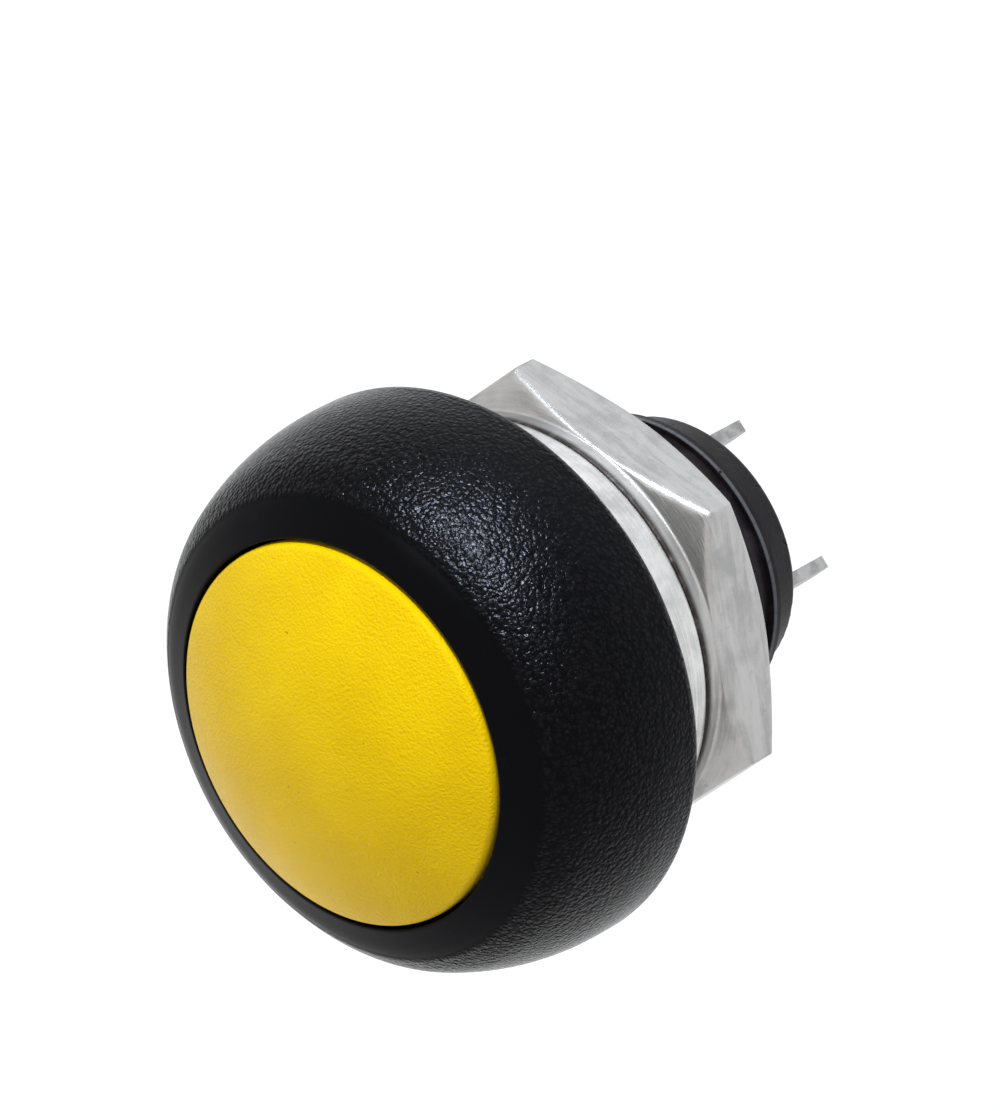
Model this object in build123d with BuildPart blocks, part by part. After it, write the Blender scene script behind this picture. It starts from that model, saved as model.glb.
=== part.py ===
"""Sealed momentary push button switch for a 12 mm panel hole.

Millimetres. +Z points out of the panel, towards the finger. The origin is the centre of the bezel's
seat, the flat ring that presses the gasket on the panel. The two terminals are in line along X.
"""
import os
from math import radians, tan

from build123d import *

os.makedirs("parts", exist_ok=True)

# ---------------------------------------------------------------- bezel and bushing (one moulding)
land_width = 1.02  # the smooth ring round the cap, from the well's mouth out to the brow
shoulder_run = 0.96  # from the brow, the soft ridge, out to where the long flank begins
flank_run = 0.7  # from there out to the bezel's widest cylinder
belly_height = 0.9  # the flank's foot above the seat
shoulder_height = 4.3
brow_height = 5.48
brow_round = 0.5
bezel_height = 5.7  # the land rises gently from the brow to the mouth of the well
mouth_round = 0.1
seat_edge_round = 0.35
well_depth = 4.3  # from the mouth to the well's floor
floor_thickness = 1.2
thread_radius = 5.95  # M12 x 1 major radius, less its tolerance
thread_length = 7.0
bushing_wall = 1.1  # at the thread's crests
lead_chamfer = 0.4
guide_wall = 0.7  # the tube that guides the plunger
guide_rise = 1.8  # above the well's floor
guide_drop = 1.2  # below the floor's underside

# ---------------------------------------------------------------- yellow cap
cap_radius = 6.2
cap_clearance = 0.12  # all round, in the well
cap_proud = 0.15  # the cap's rim above the bezel's mouth
dome_height = 1.75  # the cap's top above its rim
rim_round = 0.3
skirt_wall = 1.1
roof_thickness = 0.85  # at the rim
travel = 1.5
skirt_gap = 0.15  # left under the skirt when it is pressed home
boss_gap = 0.3  # from the guide tube to the cap's boss, at rest
socket_radius = 1.5
socket_depth = 2.1

# ---------------------------------------------------------------- plunger
stem_radius = 2.4
stem_clearance = 0.1
spigot_gap = 0.05  # over the spigot, in the cap's socket
groove_depth = 0.55
groove_width = 0.75
groove_height = 1.2  # the groove's middle above the seat, at rest
seal_clearance = 0.02
flange_gap = 0.55  # from the flange to the base's wall
flange_thickness = 0.9
window_height = 3.1  # the slot that carries the contact bridge
leg_thickness = 0.8
leg_width = 2.4
crossbar_height = 0.6
spring_nub_radius = 0.5
spring_nub_height = 0.5

# ---------------------------------------------------------------- springs
return_wire = 0.5
return_gap = 0.75  # from the guide tube to the inside of the coil
return_turns = 3.5
contact_wire = 0.25
contact_gap_inside = 0.195  # from the nub to the inside of the coil
contact_turns = 5

# ---------------------------------------------------------------- contacts
bridge_end_gap = 0.2  # from each end to the base's wall
bridge_width = 2.2
bridge_thickness = 0.5
bridge_clearance = 0.05  # each side, in the plunger's window
rivet_inset = 0.8  # from the bridge's end to the middle of each contact
rivet_radius = 0.6
rivet_height = 0.4
shank_radius = 0.3
contact_gap = 1.1  # open, between the silver faces

# ---------------------------------------------------------------- terminals
terminal_inset = 0.45  # from the middle of the contact in to the middle of the blade
terminal_thickness = 0.4
terminal_width = 1.6
terminal_length = 4.5  # past the rear rim
terminal_bend = 0.3  # inside radius
pad_gap = 0.35  # from the outer end of the contact's pad to the base's wall
tip_chamfer = 0.35
slot_clearance = 0.02

# ---------------------------------------------------------------- rear body
base_clearance = 0.05
base_wall = 0.85
base_shoulder = 1.5  # below the seat: where the base stops in the bushing
ledge = 0.5  # width of the bushing's inner step that stops it
base_step = 1.5  # length of the wide part that stands out of the bushing
lip_reach = 0.2  # the thin lip at the end of the wide part stands out this far
lip_thickness = 0.3
tail_inset = 0.25  # the tail behind the lip is narrower than the wide part by this step
tail_draft = 0.15  # the tail is this much narrower at its end
tail_length = 1.5
tail_round = 0.25
floor_gap = 0.2  # under the plunger when it is pressed home
recess_wall = 0.9
recess_depth = 1.5
resin_depth = 0.2  # of the resin's face below the rear rim

# ---------------------------------------------------------------- panel fixings
gasket_inset = 1.1  # from the bezel's edge
gasket_thickness = 1.0
gasket_clearance = 0.05
washer_wall = 1.1  # beyond the thread's crests
washer_thickness = 1.8
washer_clearance = 0.1
washer_edge = 0.15
nut_wall = 1.05  # from the thread's crests to each flat, so 14 mm across flats
nut_thickness = 2.92
nut_clearance = 0.05
nut_collar_inset = 0.1  # round collar on the front face, inside the washer's rim
nut_collar_height = 0.6
nut_collar_edge = 0.15
nut_chamfer_angle = 30  # behind the collar and on the rear face
nut_back_inset = 0.05  # the back face's chamfer starts this far inside the flats
nut_lead = 0.2  # countersink at both ends of the nut's thread

# ---------------------------------------------------------------- places that follow from them
well_radius = cap_radius + cap_clearance
brow_radius = well_radius + land_width
shoulder_radius = brow_radius + shoulder_run
bezel_radius = shoulder_radius + flank_run
well_floor = bezel_height - well_depth
ceiling = well_floor - floor_thickness
guide_radius = stem_radius + stem_clearance
guide_outside = guide_radius + guide_wall
guide_top = well_floor + guide_rise
guide_end = ceiling - guide_drop
bore_radius = thread_radius - bushing_wall
base_radius = bore_radius - base_clearance
cavity_radius = base_radius - base_wall
recess_radius = base_radius - recess_wall
lip_radius = base_radius + lip_reach
tail_radius = base_radius - tail_inset

cap_rim = bezel_height + cap_proud
cap_ceiling = cap_rim - roof_thickness
skirt_end = well_floor + travel + skirt_gap
boss_end = guide_top + boss_gap
socket_top = boss_end + socket_depth

flange_radius = cavity_radius - flange_gap
flange_end = guide_end - flange_thickness
window_end = flange_end - window_height
plunger_end = window_end - crossbar_height
window_half = bridge_width / 2 + bridge_clearance
return_radius = guide_outside + return_gap + return_wire / 2
contact_radius = spring_nub_radius + contact_gap_inside + contact_wire / 2

bridge_half_length = cavity_radius - bridge_end_gap
rivet_reach = bridge_half_length - rivet_inset
terminal_reach = rivet_reach - terminal_inset
pad_end = cavity_radius - pad_gap
bridge_top = window_end + bridge_thickness
fixed_face = window_end - rivet_height - contact_gap
pad_top = fixed_face - rivet_height
pad_bottom = pad_top - terminal_thickness
base_floor = plunger_end - travel - floor_gap
step_end = -thread_length - base_step
lip_end = step_end - lip_thickness
rear_rim = lip_end - tail_length
recess_floor = rear_rim + recess_depth
terminal_tip = rear_rim - terminal_length

gasket_radius = bezel_radius - gasket_inset
washer_radius = thread_radius + washer_wall
washer_face = -gasket_thickness
nut_face = washer_face - washer_thickness
nut_back = nut_face - nut_thickness
nut_bore = thread_radius + nut_clearance
nut_apothem = thread_radius + nut_wall
nut_corner = nut_apothem / 0.75**0.5
nut_collar_radius = washer_radius - nut_collar_inset
nut_shoulder = nut_face - nut_collar_height
front_drop = (nut_corner - nut_collar_radius) * tan(radians(nut_chamfer_angle))
nut_back_start = nut_apothem - nut_back_inset
back_drop = (nut_corner - nut_back_start) * tan(radians(nut_chamfer_angle))

SIDES = {"left": -1, "right": 1}


def write(piece, name):
    """Label the finished piece and write its STEP file."""
    piece.part.label = name
    export_step(piece.part, f"parts/{name}.step")


def corner(sketch, x, y):
    """The corner of an open sketch that lies nearest to (x, y) in the sketch's own plane."""
    return sketch.vertices().sort_by_distance((x, y))[0]


# ================================================================ housing
# One section, turned about Z: bezel, seat, threaded bushing, stepped bore, guide tube and well.
with BuildPart() as housing:
    with BuildSketch(Plane.XZ) as section:
        with BuildLine():
            flank = TangentArc(
                (bezel_radius, belly_height), (shoulder_radius, shoulder_height), tangent=(0, 1)
            )
            shoulder = TangentArc(flank @ 1, (brow_radius, brow_height), tangent=flank % 1)
            Polyline(
                shoulder @ 1,
                (well_radius, bezel_height),
                (well_radius, well_floor),
                (guide_outside, well_floor),
                (guide_outside, guide_top),
                (guide_radius, guide_top),
                (guide_radius, guide_end),
                (guide_outside, guide_end),
                (guide_outside, ceiling),
                (bore_radius - ledge, ceiling),
                (bore_radius - ledge, -base_shoulder),
                (bore_radius, -base_shoulder),
                (bore_radius, -thread_length),
                (thread_radius - lead_chamfer, -thread_length),
                (thread_radius, -thread_length + lead_chamfer),
                (thread_radius, 0),
                (bezel_radius, 0),
                flank @ 0,
            )
        make_face()
        fillet(corner(section, brow_radius, brow_height), brow_round)
        fillet(corner(section, well_radius, bezel_height), mouth_round)
        fillet(corner(section, bezel_radius, 0), seat_edge_round)
    revolve(axis=Axis.Z)
write(housing, "housing")

# ================================================================ cap
# A spherical dome over a skirt, with a boss that is bored for the plunger's spigot.
with BuildPart() as button_cap:
    with BuildSketch(Plane.XZ) as section:
        with BuildLine():
            Polyline(
                (0, cap_rim + dome_height),
                (0, socket_top),
                (socket_radius, socket_top),
                (socket_radius, boss_end),
                (stem_radius, boss_end),
                (stem_radius, cap_ceiling),
                (cap_radius - skirt_wall, cap_ceiling),
                (cap_radius - skirt_wall, skirt_end),
                (cap_radius, skirt_end),
                (cap_radius, cap_rim),
            )
            dome_radius = (cap_radius**2 + dome_height**2) / (2 * dome_height)
            RadiusArc((0, cap_rim + dome_height), (cap_radius, cap_rim), dome_radius)
        make_face()
        fillet(corner(section, cap_radius, cap_rim), rim_round)
    revolve(axis=Axis.Z)
write(button_cap, "button_cap")

# ================================================================ plunger
# Turned stem with its seal groove and stop flange, and a window cut through the foot for the bridge.
with BuildPart() as plunger:
    with BuildSketch(Plane.XZ):
        with BuildLine():
            Polyline(
                (0, socket_top - spigot_gap),
                (socket_radius, socket_top - spigot_gap),
                (socket_radius, boss_end),
                (stem_radius, boss_end),
                (stem_radius, groove_height + groove_width / 2),
                (stem_radius - groove_depth, groove_height + groove_width / 2),
                (stem_radius - groove_depth, groove_height - groove_width / 2),
                (stem_radius, groove_height - groove_width / 2),
                (stem_radius, guide_end),
                (flange_radius, guide_end),
                (flange_radius, flange_end),
                (0, flange_end),
                close=True,
            )
        make_face()
    revolve(axis=Axis.Z)
    with BuildSketch(Plane.XY.offset(flange_end)):
        Rectangle(leg_width, 2 * (window_half + leg_thickness))
    extrude(amount=plunger_end - flange_end)
    with BuildSketch(Plane.XY.offset(flange_end)):
        Rectangle(leg_width, 2 * window_half)
    extrude(amount=window_end - flange_end, mode=Mode.SUBTRACT)
    with BuildSketch(Plane.XY.offset(flange_end)):
        Circle(spring_nub_radius)
    extrude(amount=-spring_nub_height)
write(plunger, "plunger")

# The seal is a ring of round section, seated in the groove and just clear of the guide tube.
seal_section = (guide_radius - seal_clearance - (stem_radius - groove_depth)) / 2
with BuildPart() as stem_seal:
    with BuildSketch(Plane.XZ):
        with Locations((guide_radius - seal_clearance - seal_section, groove_height)):
            Circle(seal_section)
    revolve(axis=Axis.Z)
write(stem_seal, "stem_seal")


# ================================================================ springs
def coil(name, foot, head, radius, wire, turns):
    """A compression spring on Z whose coils reach from foot to head. Its wire has eight sides."""
    rise = head - foot - wire
    with BuildPart() as spring:
        with BuildLine():
            centre_line = Helix(rise / turns, rise, radius, center=(0, 0, foot + wire / 2))
        with BuildSketch(Plane(centre_line @ 0, z_dir=centre_line % 0)):
            RegularPolygon(wire / 2, 8)
        sweep(path=centre_line, is_frenet=True)
    write(spring, name)


coil("return_spring", well_floor, cap_ceiling, return_radius, return_wire, return_turns)
coil("contact_spring", bridge_top, flange_end, contact_radius, contact_wire, contact_turns)

# ================================================================ contact bridge
# A stamped bar with round ends, and a rivet hole near each end.
with BuildPart() as contact_bridge:
    with BuildSketch(Plane.XY.offset(window_end)):
        SlotOverall(2 * bridge_half_length, bridge_width)
        with Locations((-rivet_reach, 0), (rivet_reach, 0)):
            Circle(shank_radius, mode=Mode.SUBTRACT)
    extrude(amount=bridge_thickness)
write(contact_bridge, "contact_bridge")

for side, sign in SIDES.items():
    # The moving rivet hangs under the bridge, its shank flush with the bridge's top.
    with BuildPart() as bridge_contact:
        with BuildSketch(Plane.XY.offset(window_end)):
            with Locations((sign * rivet_reach, 0)):
                Circle(rivet_radius)
        extrude(amount=-rivet_height)
        with BuildSketch(Plane.XY.offset(window_end)):
            with Locations((sign * rivet_reach, 0)):
                Circle(shank_radius)
        extrude(amount=bridge_thickness)
    write(bridge_contact, f"bridge_contact_{side}")

    # The fixed rivet stands on the terminal's pad, its shank flush with the pad's underside.
    with BuildPart() as fixed_contact:
        with BuildSketch(Plane.XY.offset(pad_top)):
            with Locations((sign * rivet_reach, 0)):
                Circle(rivet_radius)
        extrude(amount=rivet_height)
        with BuildSketch(Plane.XY.offset(pad_top)):
            with Locations((sign * rivet_reach, 0)):
                Circle(shank_radius)
        extrude(amount=-terminal_thickness)
    write(fixed_contact, f"fixed_contact_{side}")

    # A strip bent once: the pad lies on the base's floor and the blade goes out through it.
    inner = terminal_reach - terminal_thickness / 2
    outer = terminal_reach + terminal_thickness / 2
    with BuildPart() as terminal:
        with BuildSketch(Plane.XZ) as strip:
            with BuildLine():
                Polyline(
                    (sign * pad_end, pad_top),
                    (sign * inner, pad_top),
                    (sign * inner, terminal_tip),
                    (sign * outer, terminal_tip),
                    (sign * outer, pad_bottom),
                    (sign * pad_end, pad_bottom),
                    close=True,
                )
            make_face()
            fillet(corner(strip, sign * inner, pad_top), terminal_bend + terminal_thickness)
            fillet(corner(strip, sign * outer, pad_bottom), terminal_bend)
        extrude(amount=terminal_width / 2, both=True)
        corners = terminal.edges().filter_by(Axis.X).group_by(Axis.Z)[0]
        chamfer(corners, tip_chamfer)
        with BuildSketch(Plane.XY.offset(pad_top)):
            with Locations((sign * rivet_reach, 0)):
                Circle(shank_radius)
        extrude(amount=-terminal_thickness, mode=Mode.SUBTRACT)
    write(terminal, f"terminal_{side}")

# ================================================================ terminal base
# A moulded cup that plugs into the bushing, with a thin lip behind the wide part, a slot for each
# blade and a recess for the resin.
slot_size = (terminal_thickness + 2 * slot_clearance, terminal_width + 2 * slot_clearance)
with BuildPart() as terminal_base:
    with BuildSketch(Plane.XZ) as section:
        with BuildLine():
            Polyline(
                (0, base_floor),
                (cavity_radius, base_floor),
                (cavity_radius, -base_shoulder),
                (base_radius, -base_shoulder),
                (base_radius, step_end),
                (lip_radius, step_end),
                (lip_radius, lip_end),
                (tail_radius, lip_end),
                (tail_radius - tail_draft, rear_rim),
                (recess_radius, rear_rim),
                (recess_radius, recess_floor),
                (0, recess_floor),
                close=True,
            )
        make_face()
        fillet(corner(section, tail_radius - tail_draft, rear_rim), tail_round)
    revolve(axis=Axis.Z)
    with BuildSketch(Plane.XY.offset(recess_floor)):
        with Locations((-terminal_reach, 0), (terminal_reach, 0)):
            Rectangle(*slot_size)
    extrude(amount=base_floor - recess_floor, mode=Mode.SUBTRACT)
    mouths = terminal_base.edges().filter_by(Axis.Y).group_by(Axis.Z)[-1].sort_by(Axis.X)
    chamfer([mouths[0], mouths[-1]], terminal_bend)
write(terminal_base, "terminal_base")

# Resin fills the recess round both blades.
with BuildPart() as potting:
    with BuildSketch(Plane.XY.offset(rear_rim + resin_depth)):
        Circle(recess_radius)
        with Locations((-terminal_reach, 0), (terminal_reach, 0)):
            Rectangle(terminal_thickness, terminal_width, mode=Mode.SUBTRACT)
    extrude(amount=recess_depth - resin_depth)
write(potting, "potting")

# ================================================================ panel fixings
with BuildPart() as panel_gasket:
    with BuildSketch():
        Circle(gasket_radius)
        Circle(thread_radius + gasket_clearance, mode=Mode.SUBTRACT)
    extrude(amount=-gasket_thickness)
write(panel_gasket, "panel_gasket")

with BuildPart() as washer:
    with BuildSketch(Plane.XY.offset(washer_face)):
        Circle(washer_radius)
        Circle(thread_radius + washer_clearance, mode=Mode.SUBTRACT)
    extrude(amount=-washer_thickness)
    rims = washer.edges().filter_by(GeomType.CIRCLE).group_by(SortBy.RADIUS)[-1]
    chamfer(rims, washer_edge)
write(washer, "washer")

# A hexagon with corners on Y, whose corners are turned off to a cone at the front and at the back.
with BuildPart() as hex_nut:
    with BuildSketch(Plane.XY.offset(nut_face)):
        RegularPolygon(nut_apothem, 6, major_radius=False, rotation=30)
    extrude(amount=-nut_thickness)
    with BuildSketch(Plane.XZ):
        with BuildLine():
            Polyline(
                (nut_bore + nut_lead, nut_face),
                (nut_collar_radius - nut_collar_edge, nut_face),
                (nut_collar_radius, nut_face - nut_collar_edge),
                (nut_collar_radius, nut_shoulder),
                (nut_corner, nut_shoulder - front_drop),
                (nut_corner, nut_back + back_drop),
                (nut_back_start, nut_back),
                (nut_bore + nut_lead, nut_back),
                (nut_bore, nut_back + nut_lead),
                (nut_bore, nut_face - nut_lead),
                close=True,
            )
        make_face()
    revolve(axis=Axis.Z, mode=Mode.INTERSECT)
write(hex_nut, "hex_nut")
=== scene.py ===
"""A sealed push button switch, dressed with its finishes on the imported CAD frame.

Lengths in this script are millimetres and become metres when a mesh is made. Z is the switch's axis
and points out of the panel. Every round piece is a section of (radius, height) points carried round
that axis, and a finish is a small graph of shader nodes whose sums are written as Python.
"""
from math import cos, pi, radians, sin, tan

import bmesh
import bpy
import numpy as np
from mathutils import Matrix, Vector


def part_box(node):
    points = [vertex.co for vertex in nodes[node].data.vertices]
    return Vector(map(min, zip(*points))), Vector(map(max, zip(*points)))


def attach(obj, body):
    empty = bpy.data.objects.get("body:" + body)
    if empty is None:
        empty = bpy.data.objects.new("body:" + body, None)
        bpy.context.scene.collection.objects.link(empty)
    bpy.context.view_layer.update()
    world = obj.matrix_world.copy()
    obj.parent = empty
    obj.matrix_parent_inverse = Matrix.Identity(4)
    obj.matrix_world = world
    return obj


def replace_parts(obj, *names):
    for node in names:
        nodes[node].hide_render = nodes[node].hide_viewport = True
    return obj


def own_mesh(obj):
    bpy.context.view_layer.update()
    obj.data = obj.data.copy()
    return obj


MM = 0.001
TURN = 2 * pi

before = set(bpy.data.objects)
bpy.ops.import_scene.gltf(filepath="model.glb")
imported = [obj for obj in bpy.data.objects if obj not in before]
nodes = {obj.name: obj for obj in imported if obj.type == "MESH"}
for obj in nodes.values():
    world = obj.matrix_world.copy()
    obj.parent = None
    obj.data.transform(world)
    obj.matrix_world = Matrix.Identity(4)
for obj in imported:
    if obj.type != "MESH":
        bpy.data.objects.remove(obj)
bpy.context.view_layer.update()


def span(node):
    """Lowest and highest corner of a CAD node, in millimetres."""
    low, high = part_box(node)
    return np.array(low) / MM, np.array(high) / MM


# ---------------------------------------------------------------- sizes taken from the frame
housing_low, housing_high = span("housing")
bezel_radius, thread_end = housing_high[0], housing_low[2]
cap_low, cap_high = span("button_cap")
cap_radius = cap_high[0] - 0.1  # the cap and its mouth are a little narrower than the solids'
gasket_low, gasket_high = span("panel_gasket")
washer_low, washer_high = span("washer")
nut_low, nut_high = span("hex_nut")
nut_apothem = nut_high[0]
collar_radius, shoulder_level = washer_high[0] - 0.1, nut_high[2] - 0.6
lip_radius, lip_height = span("terminal_base")[1][0], thread_end - 1.5

# ---------------------------------------------------------------- sizes of the moulding
belly_height = 0.9
shoulder_radius, shoulder_height = bezel_radius - 0.7, 4.3
brow_radius, brow_height, brow_round = bezel_radius - 1.66, 5.48, 0.5
mouth_radius, mouth_height, mouth_round = cap_radius + 0.12, 6.0, 0.1
well_floor, ceiling = 1.4, 0.2
guide_inside, guide_outside = 2.5, 3.2
guide_top, guide_end = well_floor + 1.8, ceiling - 1.2
bore_radius = lip_radius - 0.15
ledge_radius, ledge_height = bore_radius - 0.5, -1.5
thread_radius, thread_pitch, thread_depth = 5.95, 1.0, 0.61
lead_chamfer = 0.4

# ---------------------------------------------------------------- sizes of the cap
cap_rim = mouth_height + 0.1
rim_round = 0.3
skirt_inside, cap_ceiling = cap_radius - 1.1, cap_rim - 0.85
boss_radius, boss_end = 2.4, guide_top + 0.3
socket_radius, socket_top = 1.5, boss_end + 2.1

# ---------------------------------------------------------------- sizes of rings, nut and thread
gasket_width, washer_play = 1.9, 0.1
countersink_radius = 6.2
thread_play = 0.05  # how much wider the nut's thread is than the bushing's
flank_play = 0.1  # how far the nut's flanks stand back, as a part of the form
CREST_SHARE, ROOT_SHARE = 1 / 8, 3 / 4  # where a flank begins and ends, from crest to root

# ---------------------------------------------------------------- fineness of the surfaces
AROUND, NUT_AROUND = 288, 720  # points round a turned piece, and round the nut
FLANK_STEPS, DOME_STEPS = 9, 24
ROUND = 1e3  # a cut this long is kept to half of each side: the corner becomes one smooth bend


# ================================================================ surfaces
def rounded(corners, cuts, steps=7):
    """A path through corners, each side straight and each corner a parabola.

    corners is points x columns x 2 (or points x 2 for the same section all round), cuts says how far
    from each corner its bend leaves the sides. A bend is (1-t)^2 start + 2t(1-t) corner + t^2 end, and
    one more point stands beyond each end of it, so that the flat beside it shades flat.
    """
    corners = np.asarray(corners, float)
    if corners.ndim == 2:
        corners = corners[:, None, :]
    cuts = np.broadcast_to(np.reshape(np.asarray(cuts, float), (-1, 1, 1)), (len(corners), 1, 1))

    def along(side, share):
        length = np.maximum(np.linalg.norm(side, axis=-1, keepdims=True), 1e-9)
        return corners + side * np.minimum(cuts * share / length, 0.5)

    back, on = np.roll(corners, 1, 0) - corners, np.roll(corners, -1, 0) - corners
    start, end = along(back, 1.0), along(on, 1.0)
    t = np.linspace(0, 1, steps)[None, :, None, None]
    bend = (1 - t) ** 2 * start[:, None] + 2 * t * (1 - t) * corners[:, None] + t**2 * end[:, None]
    whole = np.concatenate([along(back, 1.6)[:, None], bend, along(on, 1.6)[:, None]], axis=1)
    return whole.reshape(-1, *corners.shape[1:])


def tangent_arc(start, end, leaving, count):
    """Points on the arc from start to end that leaves start along the direction leaving."""
    start, end = np.array(start, float), np.array(end, float)
    leaving = np.array(leaving, float) / np.hypot(*leaving)
    side = np.array([-leaving[1], leaving[0]])
    chord = end - start
    bend = 2 * np.arctan2(chord @ side, chord @ leaving)
    radius = chord @ chord / (2 * chord @ side)
    turn = np.linspace(0, bend, count)[:, None]
    points = start + radius * (np.sin(turn) * leaving + (1 - np.cos(turn)) * side)
    heading = cos(bend) * leaving + sin(bend) * side
    return points, heading


def piece(name, points, body, material, closed_rows=True):
    """Makes a rows x columns grid of points (mm) one closed skin, outward side out, that rides on a body.

    Columns always close round. Rows close too on a ring; on a solid the first and last row are poles.
    """
    rows, columns = points.shape[:2]
    index = np.arange(rows * columns).reshape(rows, columns)
    down = np.roll(index, -1, 0) if closed_rows else index[1:]
    here = index if closed_rows else index[:-1]
    quads = np.stack([here, np.roll(here, -1, 1), np.roll(down, -1, 1), down], -1).reshape(-1, 4)
    flat = points.reshape(-1, 3) * MM
    a, b, c, d = (flat[quads[:, k]] for k in range(4))
    volume = (np.einsum("ij,ij->i", a, np.cross(b, c)) + np.einsum("ij,ij->i", a, np.cross(c, d))).sum()
    if volume < 0:
        quads = quads[:, ::-1]
    mesh = bpy.data.meshes.new(name)
    mesh.vertices.add(len(flat))
    mesh.vertices.foreach_set("co", flat.ravel())
    mesh.loops.add(quads.size)
    mesh.loops.foreach_set("vertex_index", quads.ravel())
    mesh.polygons.add(len(quads))
    mesh.polygons.foreach_set("loop_start", np.arange(0, quads.size, 4))
    mesh.update(calc_edges=True)
    weld(mesh)
    mesh.polygons.foreach_set("use_smooth", np.ones(len(mesh.polygons), bool))
    mesh.materials.append(material)
    made = bpy.data.objects.new(name, mesh)
    bpy.context.scene.collection.objects.link(made)
    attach(made, body)
    return made


def weld(mesh):
    """Joins points that stand in one place, which closes poles and drops sides of no length."""
    work = bmesh.new()
    work.from_mesh(mesh)
    bmesh.ops.remove_doubles(work, verts=work.verts, dist=1e-8)
    work.to_mesh(mesh)
    work.free()


def turned(section, columns=AROUND):
    """Carries a section of (radius, height) points round Z: (r cos a, r sin a, z)."""
    section = np.asarray(section, float)
    if section.ndim == 2:
        section = section[:, None, :]
    angle = np.arange(columns) * TURN / columns
    radius, height = np.broadcast_to(section, (len(section), columns, 2)).transpose(2, 0, 1)
    return np.stack([radius * np.cos(angle), radius * np.sin(angle), height], -1)


def thread_form(angle, height):
    """How far a metric thread's flank stands below its crest, from 0 to 1.

    The turn that a point stands on is height / pitch - angle / 2 pi. Over one turn the depth climbs
    from a crest an eighth of the pitch wide to a root a quarter of it wide, on straight flanks.
    """
    turn = height / thread_pitch - angle / TURN
    distance = np.abs(turn - np.round(turn)) * 2
    return np.clip((distance - CREST_SHARE) / (ROOT_SHARE - CREST_SHARE), 0, 1)


# ================================================================ finishes
class Term:
    """A shader socket that carries a number, so that sums on it are written as Python."""

    def __init__(self, finish, socket):
        self.finish, self.socket = finish, socket

    def maths(self, operation, *inputs):
        values = dict(enumerate(inputs))
        return self.finish.node("Math", {"operation": operation}, values)

    def __add__(self, other):
        return self.maths("ADD", self, other)

    def __sub__(self, other):
        return self.maths("SUBTRACT", self, other)

    def __rsub__(self, other):
        return self.maths("SUBTRACT", other, self)

    def __mul__(self, other):
        return self.maths("MULTIPLY", self, other)

    def __truediv__(self, other):
        return self.maths("DIVIDE", self, other)

    def __pow__(self, other):
        return self.maths("POWER", self, other)

    __radd__, __rmul__ = __add__, __mul__

    def most(self, other):
        return self.maths("MAXIMUM", self, other)

    def ramp(self, low, high, start=0.0, end=1.0):
        """Climbs smoothly from start, where the number is low, to end, where it is high."""
        settings = {"interpolation_type": "SMOOTHSTEP"}
        values = {0: self, 1: low, 2: high, 3: start, 4: end}
        return self.finish.node("MapRange", settings, values)


class Finish:
    """A material for one finish of this switch, made from its Principled shader outwards."""

    def __init__(self, name, **constants):
        self.material = bpy.data.materials.new(name)
        self.material.use_nodes = True
        self.tree = self.material.node_tree
        self.shader = self.tree.nodes["Principled BSDF"]
        for socket, value in constants.items():
            self.shader.inputs[socket.replace("_", " ").title().replace("Ior", "IOR")].default_value = value
        place = self.node("TexCoord", out="Object")
        self.place = self.node("VectorMath", {"operation": "SCALE"}, {0: place, "Scale": 1 / MM})
        self.x, self.y, self.z = (self.node("SeparateXYZ", {}, {0: self.place}, out=k) for k in range(3))

    def node(self, kind, settings=None, values=None, out=0):
        """Adds a shader node: its settings first, then a number, colour or link for each socket."""
        made = self.tree.nodes.new("ShaderNode" + kind)
        for name, value in (settings or {}).items():
            setattr(made, name, value)
        for name, value in (values or {}).items():
            if isinstance(value, Term):
                self.tree.links.new(value.socket, made.inputs[name])
            else:
                made.inputs[name].default_value = value
        return Term(self, made.outputs[out])

    def noise(self, size, detail=2.0, rough=0.5, warp=0.0, vector=None):
        """Cloudy noise from 0 to 1 whose lumps are about size millimetres."""
        scaled = self.node(
            "Mapping", {"vector_type": "POINT"}, {"Vector": vector or self.place, "Scale": [1 / size] * 3}
        )
        values = {"Vector": scaled, "Scale": 1.0, "Detail": detail, "Roughness": rough, "Distortion": warp}
        return self.node("TexNoise", {}, values)

    def cells(self, size, smooth):
        """Distance to the middle of the nearest of many soft cells about size millimetres wide."""
        values = {"Vector": self.place, "Scale": 1 / size, "Smoothness": smooth, "Detail": 0.0}
        return self.node("TexVoronoi", {"feature": "SMOOTH_F1"}, values)

    def radius(self):
        """Distance from the switch's axis."""
        return (self.x * self.x + self.y * self.y) ** 0.5

    def round_place(self, across, along, depth):
        """A place that runs slowly round the axis and fast with depth, for marks left by turning.

        across is the width of a mark in millimetres and along its length in radians.
        """
        reach = self.radius() + 1e-4
        values = {0: self.x / reach / along, 1: self.y / reach / along, 2: depth / across}
        return self.node("CombineXYZ", {}, values)

    def mix(self, factor, first, second):
        """first where factor is 0 and second where it is 1; both are colours."""
        values = {0: factor}
        for socket, colour in ((6, first), (7, second)):
            values[socket] = colour if isinstance(colour, Term) else (*colour, 1.0)
        return self.node("Mix", {"data_type": "RGBA"}, values, out=2)

    def bump(self, height, depth, under=None):
        """Raises the surface by height times depth millimetres."""
        values = {"Height": height, "Distance": depth * MM, "Strength": 1.0}
        if under:
            values["Normal"] = under
        return self.node("Bump", {}, values)

    def done(self, **links):
        """Joins each given term to the shader's socket of that name and returns the material."""
        for socket, value in links.items():
            self.tree.links.new(value.socket, self.shader.inputs[socket.replace("_", " ").title()])
        return self.material


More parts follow.
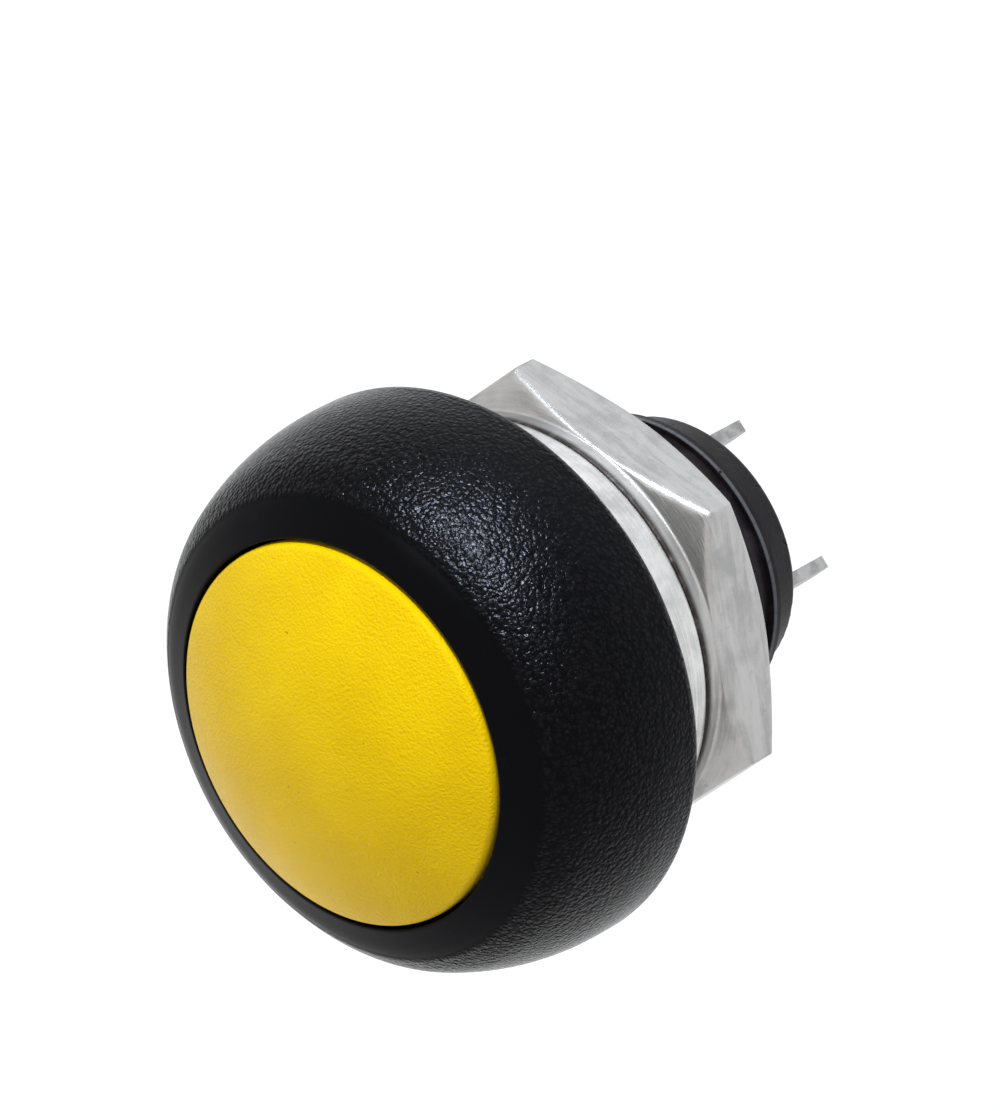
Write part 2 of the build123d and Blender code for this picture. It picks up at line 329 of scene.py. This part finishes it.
def grained_black():
    """Black moulded plastic: leather grain outside, smooth on the land round the cap and inside."""
    f = Finish("grained_black", specular_ior_level=0.07, specular_tint=(0.86, 0.87, 1.0, 1.0))
    warp = f.noise(0.5, detail=1.0, warp=0.3)
    pebbles = 1 - f.cells(0.15, smooth=0.25)
    wrinkles = f.noise(0.11, detail=1.5, rough=0.5, warp=0.6)
    grained = (f.radius() - (brow_radius - 0.05)).ramp(0.0, 0.25) * (f.z + 0.1).ramp(0.0, 0.3)
    coarse = f.z.ramp(1.0, 5.2, 0.6, 1.0)
    height = (pebbles * 0.8 + wrinkles * 0.8) * grained
    fine = f.noise(0.05, detail=2.0)
    normal = f.bump(fine, 0.002, under=f.bump(height * coarse, 0.043))
    crests = height.ramp(0.65, 1.15)
    dust = f.noise(0.9, detail=6.0, rough=0.7).ramp(0.62, 0.8)
    # painted shade: the grain's hollows are coloured darker than its crests
    colour = f.mix(crests, (0.0001, 0.0001, 0.0003), (0.0038, 0.0033, 0.0046))
    colour = f.mix(dust * 0.4, colour, (0.012, 0.011, 0.012))
    rough = wrinkles.ramp(0.35, 0.65, 0.2, 0.12) * grained + (1 - grained) * (0.2 + 0.06 * warp)
    return f.done(base_color=colour, roughness=rough, normal=normal)


def grained_yellow():
    """Yellow moulded plastic with a shallow grain and the odd speck."""
    f = Finish("grained_yellow", specular_ior_level=0.08)
    pebbles = 1 - f.cells(0.1, smooth=0.3)
    wrinkles = f.noise(0.075, detail=1.5, rough=0.5, warp=0.7)
    top = f.z.ramp(cap_rim - 0.3, cap_rim - 0.1)
    normal = f.bump((pebbles * 0.7 + wrinkles * 0.9) * top, 0.026)
    cloud = f.noise(3.2, detail=2.0)
    specks = f.noise(0.2, detail=1.0).ramp(0.79, 0.81)
    colour = f.mix(cloud.ramp(0.35, 0.7), (0.66, 0.42, 0.0), (0.71, 0.465, 0.0))
    colour = f.mix(specks * 0.7, colour, (0.25, 0.13, 0.01))
    rough = wrinkles.ramp(0.3, 0.7, 0.28, 0.16)
    return f.done(base_color=colour, roughness=rough, normal=normal)


def smooth_black():
    """The terminal base: smooth black plastic, dusty, pitted; its lip rubbed pale, partly a painted
    highlight.
    """
    f = Finish("smooth_black", specular_ior_level=0.12)
    dust = f.noise(1.1, detail=6.0, rough=0.65).ramp(0.45, 0.75)
    scuff = f.noise(0.2, detail=4.0, rough=0.7)
    # painted highlight, partly wear: a pale scuffed line round the lip
    lip = (f.radius() - lip_radius).ramp(-0.05, -0.02) * (f.z - lip_height).ramp(-0.16, -0.1)
    lip_highlight_and_wear = lip * scuff.ramp(0.25, 0.5, 0.25, 1.0)
    colour = f.mix(dust * 0.7, (0.007, 0.0055, 0.0062), (0.022, 0.018, 0.020))
    colour = f.mix(lip_highlight_and_wear, colour, (0.07, 0.07, 0.076))
    pits = f.noise(0.55, detail=2.5, rough=0.55).ramp(0.66, 0.72)
    colour = f.mix(pits, colour, (0.001, 0.001, 0.001))
    normal = f.bump(scuff * 0.3 - pits, 0.04)
    return f.done(base_color=colour, roughness=0.3 + 0.2 * dust, normal=normal)


def drawn_nickel():
    """The nut's plating: streaks round it from drawing and turning, grime, painted shade at its front."""
    f = Finish("drawn_nickel", metallic=1.0)
    sides = [f.x * cos(t) + f.y * sin(t) for t in (0, pi / 3, 2 * pi / 3)]
    reach = [side.most(side * -1) for side in sides]
    flat = reach[0].most(reach[1]).most(reach[2]).ramp(nut_apothem - 0.04, nut_apothem - 0.01)
    marks = f.noise(1.0, detail=3.0, rough=0.6, vector=f.round_place(0.05, 0.12, f.z))
    bands = f.noise(1.0, detail=2.0, rough=0.5, warp=0.8, vector=f.round_place(0.4, 0.3, f.z))
    blotch = f.noise(0.5, detail=6.0, rough=0.75)
    cloud = f.noise(1.1, detail=5.0, rough=0.6, warp=0.5)
    grime = blotch.ramp(0.60, 0.74)
    tone = (bands * 0.4 + marks * 0.2 + cloud * 0.4).ramp(0.38, 0.60)
    colour = f.mix(tone, (0.345, 0.34, 0.336), (0.475, 0.465, 0.457))
    colour = f.mix(grime * 0.5, colour, (0.18, 0.172, 0.162))
    # painted shade: the nut's front, in its joint with the washer, coloured dark in blotches
    joint = (f.z - nut_high[2]).ramp(-0.34, -0.1)
    colour = f.mix(joint * blotch.ramp(0.2, 0.55, 0.75, 1.0), colour, (0.035, 0.03, 0.028))
    rough = flat * -0.13 + 0.42 - 0.05 * tone + 0.15 * grime
    scratch = f.noise(1.0, detail=4.0, rough=0.7, warp=0.4, vector=f.round_place(0.03, 0.06, f.z))
    normal = f.bump(marks + scratch, 0.006, under=f.bump(bands, 0.014))
    return f.done(base_color=colour, roughness=rough, normal=normal)


def turned_nickel():
    """The washer's plating: fine rings from turning, hazy patches, painted shade at its faces' outer rims.
    """
    f = Finish("turned_nickel", metallic=1.0)
    marks = f.noise(1.0, detail=3.0, rough=0.6, vector=f.round_place(0.035, 1.0, f.z + f.radius()))
    haze = f.noise(1.4, detail=5.0, rough=0.65)
    colour = f.mix((haze * 0.6 + marks * 0.4).ramp(0.35, 0.62), (0.43, 0.425, 0.42), (0.70, 0.69, 0.68))
    middle, half = (washer_low[2] + washer_high[2]) / 2, (washer_high[2] - washer_low[2]) / 2
    height = f.z - middle
    face = height.most(height * -1).ramp(half - 0.2, half + 0.02)
    # painted shade: the outer rims of both faces, against gasket and nut, coloured dark in blotches
    rim = face * (f.radius() - washer_high[0]).ramp(-0.5, -0.2)
    rim = rim * f.noise(0.25, detail=4.0, rough=0.7).ramp(0.3, 0.6, 0.3, 1.0)
    colour = f.mix(rim, colour, (0.06, 0.055, 0.05))
    rough = haze.ramp(0.3, 0.7, 0.2, 0.36)
    normal = f.bump(marks + 0.5 * f.noise(0.35, detail=3.0), 0.006)
    return f.done(base_color=colour, roughness=rough, normal=normal)


def dull_tin():
    """Tinned brass, dull and blotched."""
    f = Finish("dull_tin", metallic=1.0)
    blotch = f.noise(0.45, detail=4.0, rough=0.6)
    colour = f.mix(blotch.ramp(0.35, 0.65), (0.27, 0.266, 0.262), (0.43, 0.425, 0.42))
    normal = f.bump(f.noise(0.12, detail=2.0), 0.006)
    return f.done(base_color=colour, roughness=blotch.ramp(0.3, 0.7, 0.34, 0.5), normal=normal)


def plain_metal(name, colour, darker, roughness):
    """A clean metal, a little uneven: stamped brass, silver rivets or drawn spring wire."""
    f = Finish(name, metallic=1.0)
    tone = f.noise(0.3, detail=3.0)
    normal = f.bump(f.noise(0.05, detail=2.0), 0.002)
    rough = tone.ramp(0.3, 0.7, roughness, roughness + 0.12)
    return f.done(base_color=f.mix(tone, colour, darker), roughness=rough, normal=normal)


def soft_rubber(name):
    """Black rubber, matt, with a bloom of dust."""
    f = Finish(name, specular_ior_level=0.25)
    bloom = f.noise(0.6, detail=5.0, rough=0.7)
    colour = f.mix(bloom.ramp(0.45, 0.8) * 0.7, (0.006, 0.005, 0.005), (0.035, 0.026, 0.022))
    return f.done(
        base_color=colour, roughness=bloom.ramp(0.2, 0.8, 0.6, 0.85), normal=f.bump(bloom, 0.02)
    )


def cast_resin():
    """Black epoxy, glossy where it flowed, with a few pin bubbles."""
    f = Finish("cast_resin", specular_ior_level=0.5)
    flow = f.noise(1.4, detail=2.0)
    bubbles = f.noise(0.22, detail=0.5).ramp(0.72, 0.8)
    colour = f.mix(flow, (0.006, 0.006, 0.007), (0.014, 0.013, 0.013))
    normal = f.bump(flow - 0.25 * bubbles, 0.05)
    return f.done(base_color=colour, roughness=flow.ramp(0.3, 0.7, 0.14, 0.3), normal=normal)


def acetal_white():
    """The plunger's natural acetal, faintly cloudy."""
    f = Finish("acetal_white", specular_ior_level=0.5)
    cloud = f.noise(0.9, detail=3.0)
    colour = f.mix(cloud, (0.66, 0.65, 0.60), (0.74, 0.73, 0.69))
    return f.done(base_color=colour, roughness=cloud.ramp(0.3, 0.7, 0.36, 0.46), normal=f.bump(cloud, 0.01))


# ================================================================ housing
def housing_section():
    """The moulding's section, from the seat's inner corner round the bezel to the bushing's end."""
    flank, heading = tangent_arc(
        (bezel_radius, belly_height), (shoulder_radius, shoulder_height), (0, 1), FLANK_STEPS
    )
    shoulder, _ = tangent_arc(flank[-1], (brow_radius, brow_height), heading, FLANK_STEPS)
    outside = [(p, ROUND) for p in (*flank, *shoulder[1:-3])]
    corners = [
        ((thread_radius - thread_depth, 0.0), 0.02),
        ((bezel_radius, 0.0), 0.35),
        *outside,
        ((brow_radius, brow_height + 0.05), brow_round),
        ((mouth_radius, mouth_height), mouth_round),
        ((mouth_radius, well_floor), 0.2),
        ((guide_outside, well_floor), 0.1),
        ((guide_outside, guide_top), 0.08),
        ((guide_inside, guide_top), 0.08),
        ((guide_inside, guide_end), 0.08),
        ((guide_outside, guide_end), 0.08),
        ((guide_outside, ceiling), 0.1),
        ((ledge_radius, ceiling), 0.1),
        ((ledge_radius, ledge_height), 0.08),
        ((bore_radius, ledge_height), 0.06),
        ((bore_radius, thread_end), 0.08),
        ((thread_radius - lead_chamfer - 0.1, thread_end), 0.05),
    ]
    return rounded([c for c, _ in corners], [cut for _, cut in corners], steps=5)


def threaded_wall(columns=AROUND, rows=114):
    """The bushing's thread, from its chamfered end up to the seat: crest radius less the form's depth."""
    angle = np.arange(columns) * TURN / columns
    height = np.linspace(thread_end + 0.02, -0.02, rows)[:, None]
    crest = thread_radius - thread_depth * thread_form(angle, height)
    lead = thread_radius - lead_chamfer + (height - thread_end)
    radius = np.minimum(crest, lead)
    return np.stack([radius, np.broadcast_to(height, radius.shape)], -1)


moulding = housing_section()
moulding = np.broadcast_to(moulding, (len(moulding), AROUND, 2))
bezel = piece(
    "bezel_and_bushing",
    turned(np.concatenate([moulding, threaded_wall()])),
    "body",
    grained_black(),
)
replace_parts(bezel, "housing")


# ================================================================ cap
def cap_section():
    """The cap's section from the dome's top to the socket's top. The dome is part of a sphere."""
    rise = cap_high[2] - cap_rim
    dome_radius = (cap_radius**2 + rise**2) / (2 * rise)
    r = np.linspace(0, cap_radius, DOME_STEPS)
    dome = np.stack([r, cap_high[2] - dome_radius + np.sqrt(dome_radius**2 - r**2)], -1)
    corners = [(p, ROUND) for p in dome[:-1]]
    corners += [
        (dome[-1], rim_round),
        ((cap_radius, cap_low[2]), 0.12),
        ((skirt_inside, cap_low[2]), 0.12),
        ((skirt_inside, cap_ceiling), 0.15),
        ((boss_radius, cap_ceiling), 0.15),
        ((boss_radius, boss_end), 0.08),
        ((socket_radius, boss_end), 0.08),
        ((socket_radius, socket_top), 0.1),
        ((0.0, socket_top), 0.0),
    ]
    steps = 7
    path = rounded([c for c, _ in corners], [cut for _, cut in corners], steps)
    bend = steps + 2  # a pole is one point: the bends at both ends of the path go
    poles = [np.reshape(corner, (1, 1, 2)) for corner in (dome[0], (0.0, socket_top))]
    return np.concatenate([poles[0], path[bend:-bend], poles[1]])


cap = piece(
    "yellow_cap",
    turned(cap_section()),
    "button",
    grained_yellow(),
    closed_rows=False,
)
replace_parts(cap, "button_cap")


# ================================================================ gasket, washer and nut
def ring(inside, outside, low, high, cuts):
    """A ring's square section with rounded corners."""
    corners = [(inside, high), (outside, high), (outside, low), (inside, low)]
    return rounded(corners, cuts)


gasket = piece(
    "gasket_ring",
    turned(ring(gasket_high[0] - gasket_width, gasket_high[0], gasket_low[2], gasket_high[2], 0.2)),
    "body",
    soft_rubber("gasket_rubber"),
)
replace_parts(gasket, "panel_gasket")

washer_bore, washer_cuts = thread_radius + washer_play, (0.08, 0.3, 0.3, 0.08)
washer = piece(
    "plain_washer",
    turned(ring(washer_bore, washer_high[0], washer_low[2], washer_high[2], washer_cuts)),
    "clamp_washer",
    turned_nickel(),
)
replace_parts(washer, "washer")


def nut_section(columns=NUT_AROUND, rows=58):
    """The nut: flats at a / cos of the angle from their middle, cut by a 30 degree cone at each end.

    The front cone starts from a round collar. The bore is the bushing's thread a clearance wider,
    and its flanks stand a tenth of the form further back; a countersink opens it at both ends.
    """
    angle = np.arange(columns) * TURN / columns
    middle = (angle + pi / 6) % (pi / 3) - pi / 6
    flat = nut_apothem / np.cos(middle)
    front, back, back_land = nut_high[2], nut_low[2], nut_apothem - 0.05
    cone = tan(radians(30))
    front_drop, back_drop = (flat - collar_radius) * cone, (flat - back_land) * cone
    level = np.ones(columns)
    corners = np.stack(
        [
            np.stack(p, -1)
            for p in (
                (countersink_radius * level, front * level),
                (collar_radius * level, front * level),
                (collar_radius * level, shoulder_level * level),
                (flat, shoulder_level - front_drop),
                (flat, back + back_drop),
                (back_land * level, back * level),
                (countersink_radius * level, back * level),
            )
        ]
    )
    outside = rounded(corners, (0.03, 0.17, 0.08, 0.22, 0.12, 0.07, 0.03))
    height = np.linspace(back, front, rows)[:, None]
    form = np.maximum(thread_form(angle, height) - flank_play, 0)
    groove = thread_radius + thread_play - thread_depth * form
    countersink = countersink_radius - np.minimum(height - back, front - height)
    radius = np.maximum(groove, countersink)
    bore = np.stack([radius, np.broadcast_to(height, radius.shape)], -1)
    return np.concatenate([outside, bore])


nut = piece("nut", turned(nut_section(), NUT_AROUND), "nut", drawn_nickel())
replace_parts(nut, "hex_nut")


# ================================================================ springs
spring_steel = plain_metal("spring_wire", (0.55, 0.55, 0.54), (0.42, 0.41, 0.40), 0.28)


def wire_coil(foot, head, radius, wire, turns, columns=14, per_turn=56):
    """A round wire wound round Z. Its first and last half turns lie flat, and the rest climbs evenly."""
    share = np.linspace(0, 1, int(turns * per_turn) + 1)
    flat = 0.5 / turns
    climb = np.clip((share - flat) / (1 - 2 * flat), 0, 1)
    angle = share * turns * TURN
    middle = foot + wire / 2 + (head - foot - wire) * climb
    around = np.arange(columns) * TURN / columns
    reach = radius + wire / 2 * np.cos(around)[None, :] * np.ones((len(share), 1))
    height = middle[:, None] + wire / 2 * np.sin(around)[None, :]
    points = np.stack([reach * np.cos(angle)[:, None], reach * np.sin(angle)[:, None], height], -1)
    ends = [np.repeat(points[k].mean(0)[None, None], columns, 1) for k in (0, -1)]
    return np.concatenate([ends[0], points, ends[1]])


def spring(name, node, body, wire, turns):
    """A coil that stands for a CAD spring and rides on its body."""
    low, high = span(node)
    radius = (high[0] - low[0]) / 2 - wire / 2
    coil = piece(
        name,
        wire_coil(low[2], high[2], radius, wire, turns),
        body,
        spring_steel,
        closed_rows=False,
    )
    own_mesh(coil)
    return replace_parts(coil, node)


spring(
    "cap_spring",
    "return_spring",
    "body",
    wire=0.5,
    turns=4,
)
spring(
    "bridge_spring",
    "contact_spring",
    "button",
    wire=0.25,
    turns=5,
)

# ================================================================ finishes of the CAD pieces
tin = dull_tin()
silver = plain_metal("contact_silver", (0.80, 0.79, 0.77), (0.66, 0.64, 0.60), 0.3)
brass = plain_metal("contact_brass", (0.78, 0.58, 0.28), (0.62, 0.44, 0.20), 0.28)
finish_of = {
    "terminal_base": smooth_black(),
    "potting": cast_resin(),
    "plunger": acetal_white(),
    "stem_seal": soft_rubber("seal_rubber"),
    "contact_bridge": brass,
    "bridge_contact_left": silver,
    "bridge_contact_right": silver,
    "fixed_contact_left": silver,
    "fixed_contact_right": silver,
    "terminal_left": tin,
    "terminal_right": tin,
}
for name, material in finish_of.items():
    for holder in nodes[name].material_slots:
        holder.material = material

# ================================================================ floor, light and camera
WHITE, COOL = (1.0, 1.0, 1.0), (0.88, 0.98, 1.08)
PAPER = (0.45, 0.45, 0.45)
KEY_SIDE = (0.57, -0.76, 0.31)


def white_rays(tree):
    """1 for rays that the camera sees straight, in gloss or through glass, and 0 for light's own."""
    path = tree.nodes.new("ShaderNodeLightPath")
    total = path.outputs["Is Camera Ray"]
    for ray in ("Is Glossy Ray", "Is Transmission Ray"):
        both = tree.nodes.new("ShaderNodeMath")
        both.operation = "MAXIMUM"
        tree.links.new(total, both.inputs[0])
        tree.links.new(path.outputs[ray], both.inputs[1])
        total = both.outputs[0]
    return total


def studio_world(fill):
    """White to look at, and a plain light of strength fill on everything."""
    world = bpy.data.worlds.new("studio")
    world.use_nodes = True
    bpy.context.scene.world = world
    tree = world.node_tree
    sky = tree.nodes["Background"]
    sky.inputs["Color"].default_value = (*WHITE, 1)
    strength = tree.nodes.new("ShaderNodeMapRange")
    tree.links.new(white_rays(tree), strength.inputs["Value"])
    strength.inputs["To Min"].default_value = fill
    strength.inputs["To Max"].default_value = 1.0
    tree.links.new(strength.outputs[0], sky.inputs["Strength"])


def pale_floor(height, reach, lift):
    """A flat white floor. To the eye it glows a little, which makes it white and keeps its shadow."""
    mesh = bpy.data.meshes.new("floor")
    signs = ((-1, -1), (1, -1), (1, 1), (-1, 1))
    corners = [(x * reach * MM, y * reach * MM, height * MM) for x, y in signs]
    mesh.from_pydata(corners, [], [(0, 1, 2, 3)])
    material = bpy.data.materials.new("floor_paper")
    material.use_nodes = True
    tree = material.node_tree
    shader = tree.nodes["Principled BSDF"]
    shader.inputs["Base Color"].default_value = (*PAPER, 1)
    shader.inputs["Roughness"].default_value = 1.0
    shader.inputs["Specular IOR Level"].default_value = 0.0
    shader.inputs["Emission Color"].default_value = (*WHITE, 1)
    glow = tree.nodes.new("ShaderNodeMath")
    glow.operation = "MULTIPLY"
    glow.inputs[1].default_value = lift
    tree.links.new(white_rays(tree), glow.inputs[0])
    tree.links.new(glow.outputs[0], shader.inputs["Emission Strength"])
    mesh.materials.append(material)
    floor = bpy.data.objects.new("floor", mesh)
    bpy.context.scene.collection.objects.link(floor)


def softbox(name, direction, distance, size, strength, tint=WHITE, diffuse=True, glossy=True, only=()):
    """A square soft lamp that faces the origin from a direction; strength is the light it would show.

    diffuse and glossy say whether it lights a surface's colour and whether it shows in its gloss.
    Where only names pieces, it lights those alone.
    """
    lamp = bpy.data.lights.new(name, "AREA")
    lamp.shape = "SQUARE"
    lamp.size = size * MM
    lamp.energy = strength * pi * (size * MM) ** 2
    lamp.color = tint
    made = bpy.data.objects.new(name, lamp)
    toward = Vector(direction).normalized()
    made.location = toward * distance * MM
    made.rotation_euler = toward.to_track_quat("Z", "Y").to_euler()
    made.visible_diffuse, made.visible_glossy = diffuse, glossy
    if only:
        lit = bpy.data.collections.new(name)
        for receiver in only:
            lit.objects.link(receiver)
        made.light_linking.receiver_collection = lit
    bpy.context.scene.collection.objects.link(made)


def studio_camera(tilt, roll, turn, aim, distance, lens):
    """A camera tilted from the switch's axis, rolled about its own and turned about Z.

    aim is the point right and up of the origin, as the camera sees them, at which it looks.
    """
    data = bpy.data.cameras.new("camera")
    data.lens, data.sensor_width = lens, 36
    data.clip_start, data.clip_end = 10 * MM, 5000 * MM
    camera = bpy.data.objects.new("camera", data)
    camera.matrix_world = (
        Matrix.Rotation(turn, 4, "Z")
        @ Matrix.Rotation(tilt, 4, "X")
        @ Matrix.Rotation(-roll, 4, "Z")
        @ Matrix.Translation(Vector((aim[0], aim[1], distance)) * MM)
    )
    bpy.context.scene.collection.objects.link(camera)
    bpy.context.scene.camera = camera


studio_camera(
    tilt=radians(47.15),
    roll=radians(117.90),
    turn=radians(-4.76),
    aim=(0.903, 3.307),
    distance=241.97,
    lens=259.2,
)
bpy.context.scene.view_settings.view_transform = "Standard"
studio_world(fill=0.55)
pale_floor(height=-60, reach=900, lift=0.55)
softbox("key", KEY_SIDE, 260, 56, 77.0, COOL, glossy=False)
softbox("key sheen", KEY_SIDE, 260, 56, 650.0, COOL, diffuse=False, only=(bezel,))
softbox("side sheen", (0.66, -0.75, 0.06), 260, 60, 45.0, COOL, diffuse=False, only=(bezel, nut, washer))
softbox("back", (-0.2, 0.97, 0.1), 300, 160, 8.0, glossy=False)
softbox("low key", (0.12, -0.93, 0.33), 260, 70, 8.0)
softbox("front", (0.5, -0.3, 0.8), 300, 160, 1.3)
